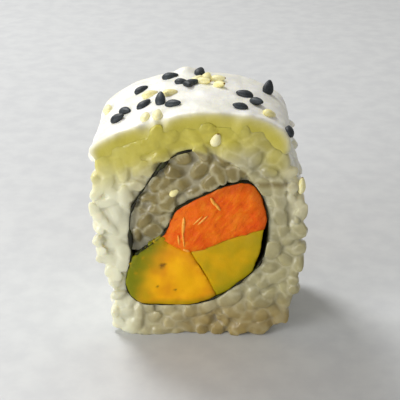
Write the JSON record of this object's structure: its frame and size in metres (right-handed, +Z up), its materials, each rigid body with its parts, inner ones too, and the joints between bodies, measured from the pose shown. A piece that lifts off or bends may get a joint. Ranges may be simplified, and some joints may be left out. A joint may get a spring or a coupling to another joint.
{
  "type": "uramaki roll",
  "caption": "Thick slice of inside-out sushi roll: rice around a nori spiral with salmon and avocado, and a white cream slab over the top.",
  "frame": {"origin": "centre of the foot that the roll stands on", "axes": "+Z up from the foot to the cream, Y along the roll's axis with the front cut face towards -Y, X across"},
  "size_m": [0.042, 0.024, 0.049],
  "materials": {
    "rice": "moist sticky rice, slightly translucent",
    "cream": "smooth soft white cream with a satin sheen",
    "nori": "thin dried seaweed, damp, dark green to black",
    "salmon": "moist orange fish with pale fibres",
    "avocado_ripe": "moist ripe yellow flesh with a green rim",
    "avocado_green": "moist yellow-green flesh"
  },
  "bodies": {
    "root": {"rice": "rice", "cream_topping": "cream", "nori": "nori", "salmon": "salmon", "avocado_left": "avocado_ripe", "avocado_right": "avocado_green"}
  },
  "joints": []
}
